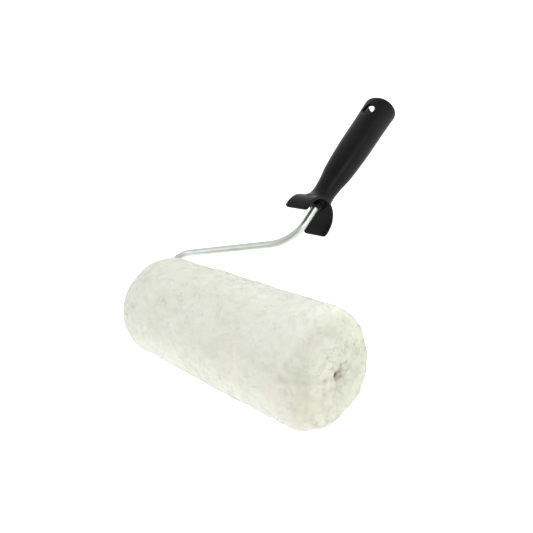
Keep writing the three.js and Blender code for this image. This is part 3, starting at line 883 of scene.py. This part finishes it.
def strands_to_objects(pile, per_piece=19800):
    rng = pile["rng"]
    count = pile["count"]
    root, mid, tip, nn = (pile[k] for k in ("root", "mid", "tip", "normal"))
    thick = 0.115 * (1 + 0.15 * rng.normal(0, 1, count)).clip(0.55, 1.5)
    axis = unit(tip - root)
    a = unit(np.cross(nn + 0.30 * rng.normal(0, 1, (count, 3)), axis))
    b = np.cross(axis, a)
    verts = np.empty((count, 7, 3))
    out = np.empty((count, 7, 3))
    for j, (ca, cb) in enumerate(((1.15, -0.12), (0.0, 0.55), (-1.15, -0.12))):
        d = a * ca + b * cb
        verts[:, j] = root + d * (thick * 1.0)[:, None]
        verts[:, 3 + j] = mid + d * (thick * 0.92)[:, None]
        d = unit(a * ca * 0.6 + b * (cb + 0.35))
        out[:, j] = d
        out[:, 3 + j] = d
    verts[:, 6] = tip
    out[:, 6] = axis
    # stay above the table
    v_row = row(verts.reshape(-1, 3))
    v_row[:, 2] = np.maximum(v_row[:, 2], 0.00015)
    # soft shading normals: each strand leans towards the normal of its tuft and of the pile; they are worked out here
    # but not set on the mesh
    centre = pile["centre"][pile["mine"]]
    puff = tip - centre
    puff -= nn * np.einsum("ij,ij->i", puff, nn)[:, None]
    far = np.linalg.norm(puff, axis=1, keepdims=True)
    puff = puff / np.maximum(far, 1e-6) * np.clip(far / 3.0, 0, 1)
    soft = unit(nn + 0.10 * puff + 0.08 * noise3(tip, 7.0, 91))
    shade = unit((0.18 * out + 0.90 * soft[:, None, :]).reshape(-1, 3))
    shade = row_dir(shade)
    faces = np.array([[0, 1, 4], [0, 4, 3], [1, 2, 5], [1, 5, 4], [2, 0, 3], [2, 3, 5], [3, 4, 6], [4, 5, 6], [5, 3, 6], [0, 2, 1]], np.int32)
    # order strands around the sleeve, so that each piece is one region
    mid_row = (tip[:, 0])
    order = np.argsort(mid_row, kind="stable")
    objects = []
    pieces = max(1, math.ceil(count / per_piece))
    v_row = v_row.reshape(count, 7, 3)
    shade = shade.reshape(count, 7, 3)
    along = np.array([0.0, 0.0, 0.0, 0.58, 0.58, 0.58, 1.0])
    lock = rng.random(pile["tufts"])[pile["mine"]] * 0.7 + rng.random(count) * 0.3
    for k, ids in enumerate(np.array_split(order, pieces)):
        n_ = len(ids)
        tri = (faces[None] + (np.arange(n_) * 7)[:, None, None]).reshape(-1, 3)
        # each strand's faces point outward: the section turns one way round the axis
        ob = build(f"pile_{k + 1}", v_row[ids].reshape(-1, 3), tri)
        me = ob.data
        att = me.attributes.new("along", "FLOAT", "POINT")
        att.data.foreach_set("value", np.tile(along, n_).astype(np.float32))
        att = me.attributes.new("lock", "FLOAT", "POINT")
        att.data.foreach_set("value", np.repeat(lock[ids], 7).astype(np.float32))
        write_tints(me, {key: np.repeat(v[ids], 7) for key, v in pile["tint"].items()})
        # bake map: a cell of its own for each strand, root to tip upward
        cells = math.ceil(math.sqrt(n_))
        cx, cy = np.arange(n_) % cells, np.arange(n_) // cells
        lu = np.array([0.15, 0.5, 0.85, 0.15, 0.5, 0.85, 0.5])
        lv = np.array([0.12, 0.12, 0.12, 0.55, 0.55, 0.55, 0.9])
        vu = np.stack([(cx[:, None] + lu) / cells, (cy[:, None] + lv) / cells], -1).reshape(-1, 2)
        layer = me.uv_layers.new(name="OFBake")
        layer.data.foreach_set("uv", vu[tri.ravel()].astype(np.float32).ravel())
        # me.normals_split_custom_set_from_vertices(shade[ids].reshape(-1, 3).tolist())
        me.materials.append(wool_fibre)
        objects.append(ob)
    return objects


rod = make_rod()
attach(rod, "frame")
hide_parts("frame_rod")

handle = make_handle()
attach(handle, "frame")
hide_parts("handle")

ground = make_fleece_base()
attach(ground, "sleeve")
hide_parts("fleece")
for ob in strands_to_objects(make_pile(190000, 4600)):
    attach(ob, "sleeve")

# ------------------------------------------------------------------ studio
# large pale table top
n = Nodes("table_top")
cloud = n.noise(3.0, 3.0, 0.5)
n.shader(Base_Color=n.mix(cloud, grey(0.80), grey(0.84)), Roughness=0.9, Specular_IOR_Level=0.1,
         Emission_Color=(1, 1, 1, 1), Emission_Strength=0.75)
rings = [0.0, 0.4, 0.8, 1.6, 3.0, 6.0, 12.0]
turn = np.linspace(0, 2 * math.pi, 64, endpoint=False)
co = np.vstack([[[0, 0, 0]]] + [np.stack([r * np.cos(turn), r * np.sin(turn), np.zeros(64)], 1) for r in rings[1:]])
tris = np.array([[0, 1 + k, 1 + (k + 1) % 64] for k in range(64)])
quads = np.array([[1 + i * 64 + k, 1 + (i + 1) * 64 + k, 1 + (i + 1) * 64 + (k + 1) % 64, 1 + i * 64 + (k + 1) % 64]
                  for i in range(len(rings) - 2) for k in range(64)])
floor = build("floor", co, [tris, quads])
floor.data.materials.append(n.mat)

world = bpy.data.worlds.new("studio")
scene.world = world
world.use_nodes = True
wt = world.node_tree
wt.nodes.clear()
wo = wt.nodes.new("ShaderNodeOutputWorld")
bg = wt.nodes.new("ShaderNodeBackground")
coord = wt.nodes.new("ShaderNodeTexCoord")
sep = wt.nodes.new("ShaderNodeSeparateXYZ")
ramp = wt.nodes.new("ShaderNodeValToRGB")
wt.links.new(coord.outputs["Generated"], sep.inputs[0])
wt.links.new(sep.outputs[2], ramp.inputs[0])
side = wt.nodes.new("ShaderNodeMapRange")
side.inputs["From Min"].default_value, side.inputs["From Max"].default_value = -0.1, 0.9
side.inputs["To Min"].default_value, side.inputs["To Max"].default_value = 1.0, 0.62
wt.links.new(sep.outputs[0], side.inputs["Value"])
level = wt.nodes.new("ShaderNodeMath")
level.operation = "MULTIPLY"
wt.links.new(side.outputs[0], level.inputs[0])
level.inputs[1].default_value = 1.20
wt.links.new(level.outputs[0], bg.inputs[1])
wt.links.new(ramp.outputs[0], bg.inputs[0])
wt.links.new(bg.outputs[0], wo.inputs[0])
e = ramp.color_ramp.elements
e[0].position, e[0].color = 0.0, (1.0, 1.0, 1.0, 1)
e[1].position, e[1].color = 0.85, (0.74, 0.74, 0.745, 1)
mid_stop = e.new(0.22)
mid_stop.color = (0.95, 0.95, 0.955, 1)

target = Vector(row([[0, 60, 0]])[0])


def area(name, direction, distance, size, power, colour=(1, 1, 1)):
    """Soft box in a direction given in the tool frame."""
    d = Vector(row_dir([direction])[0]).normalized()
    light = bpy.data.lights.new(name, "AREA")
    light.shape = "RECTANGLE"
    light.size, light.size_y = size
    light.energy = power
    light.color = colour
    ob = bpy.data.objects.new(name, light)
    ob.location = target + d * distance
    ob.rotation_mode = "QUATERNION"
    ob.rotation_quaternion = (-d).to_track_quat("-Z", "Y")
    ob.visible_camera = False
    scene.collection.objects.link(ob)
    return ob


area("key", (-0.75, -0.55, 0.60), 1.5, (1.3, 1.3), 3.5)
area("glint", (0.80, 0.37, 0.47), 1.2, (0.30, 0.45), 3.6)

# ------------------------------------------------------------------ camera
FORWARD_DOWN_RIGHT = np.array([
    [0.696304, 0.531284, -0.482595],      # image right
    [0.188204, -0.783997, -0.591548],     # image down
    [-0.692633, 0.321071, -0.645889]])    # view direction
CAMERA_AT = (333.763018, -91.239053, 322.195396)
cam_data = bpy.data.cameras.new("camera")
cam_data.lens = 37.2038
cam_data.sensor_width = 36.0
cam_data.sensor_fit = "HORIZONTAL"
cam_data.clip_start, cam_data.clip_end = 0.01, 50.0
cam = bpy.data.objects.new("camera", cam_data)
scene.collection.objects.link(cam)
right, down, forward = row_dir(FORWARD_DOWN_RIGHT)
m = Matrix.Identity(4)
for i in range(3):
    m[i][0], m[i][1], m[i][2] = right[i], -down[i], -forward[i]
m.translation = Vector(row([CAMERA_AT])[0])
cam.matrix_world = m
scene.camera = cam

scene.view_settings.view_transform = "Standard"
scene.view_settings.look = "None"
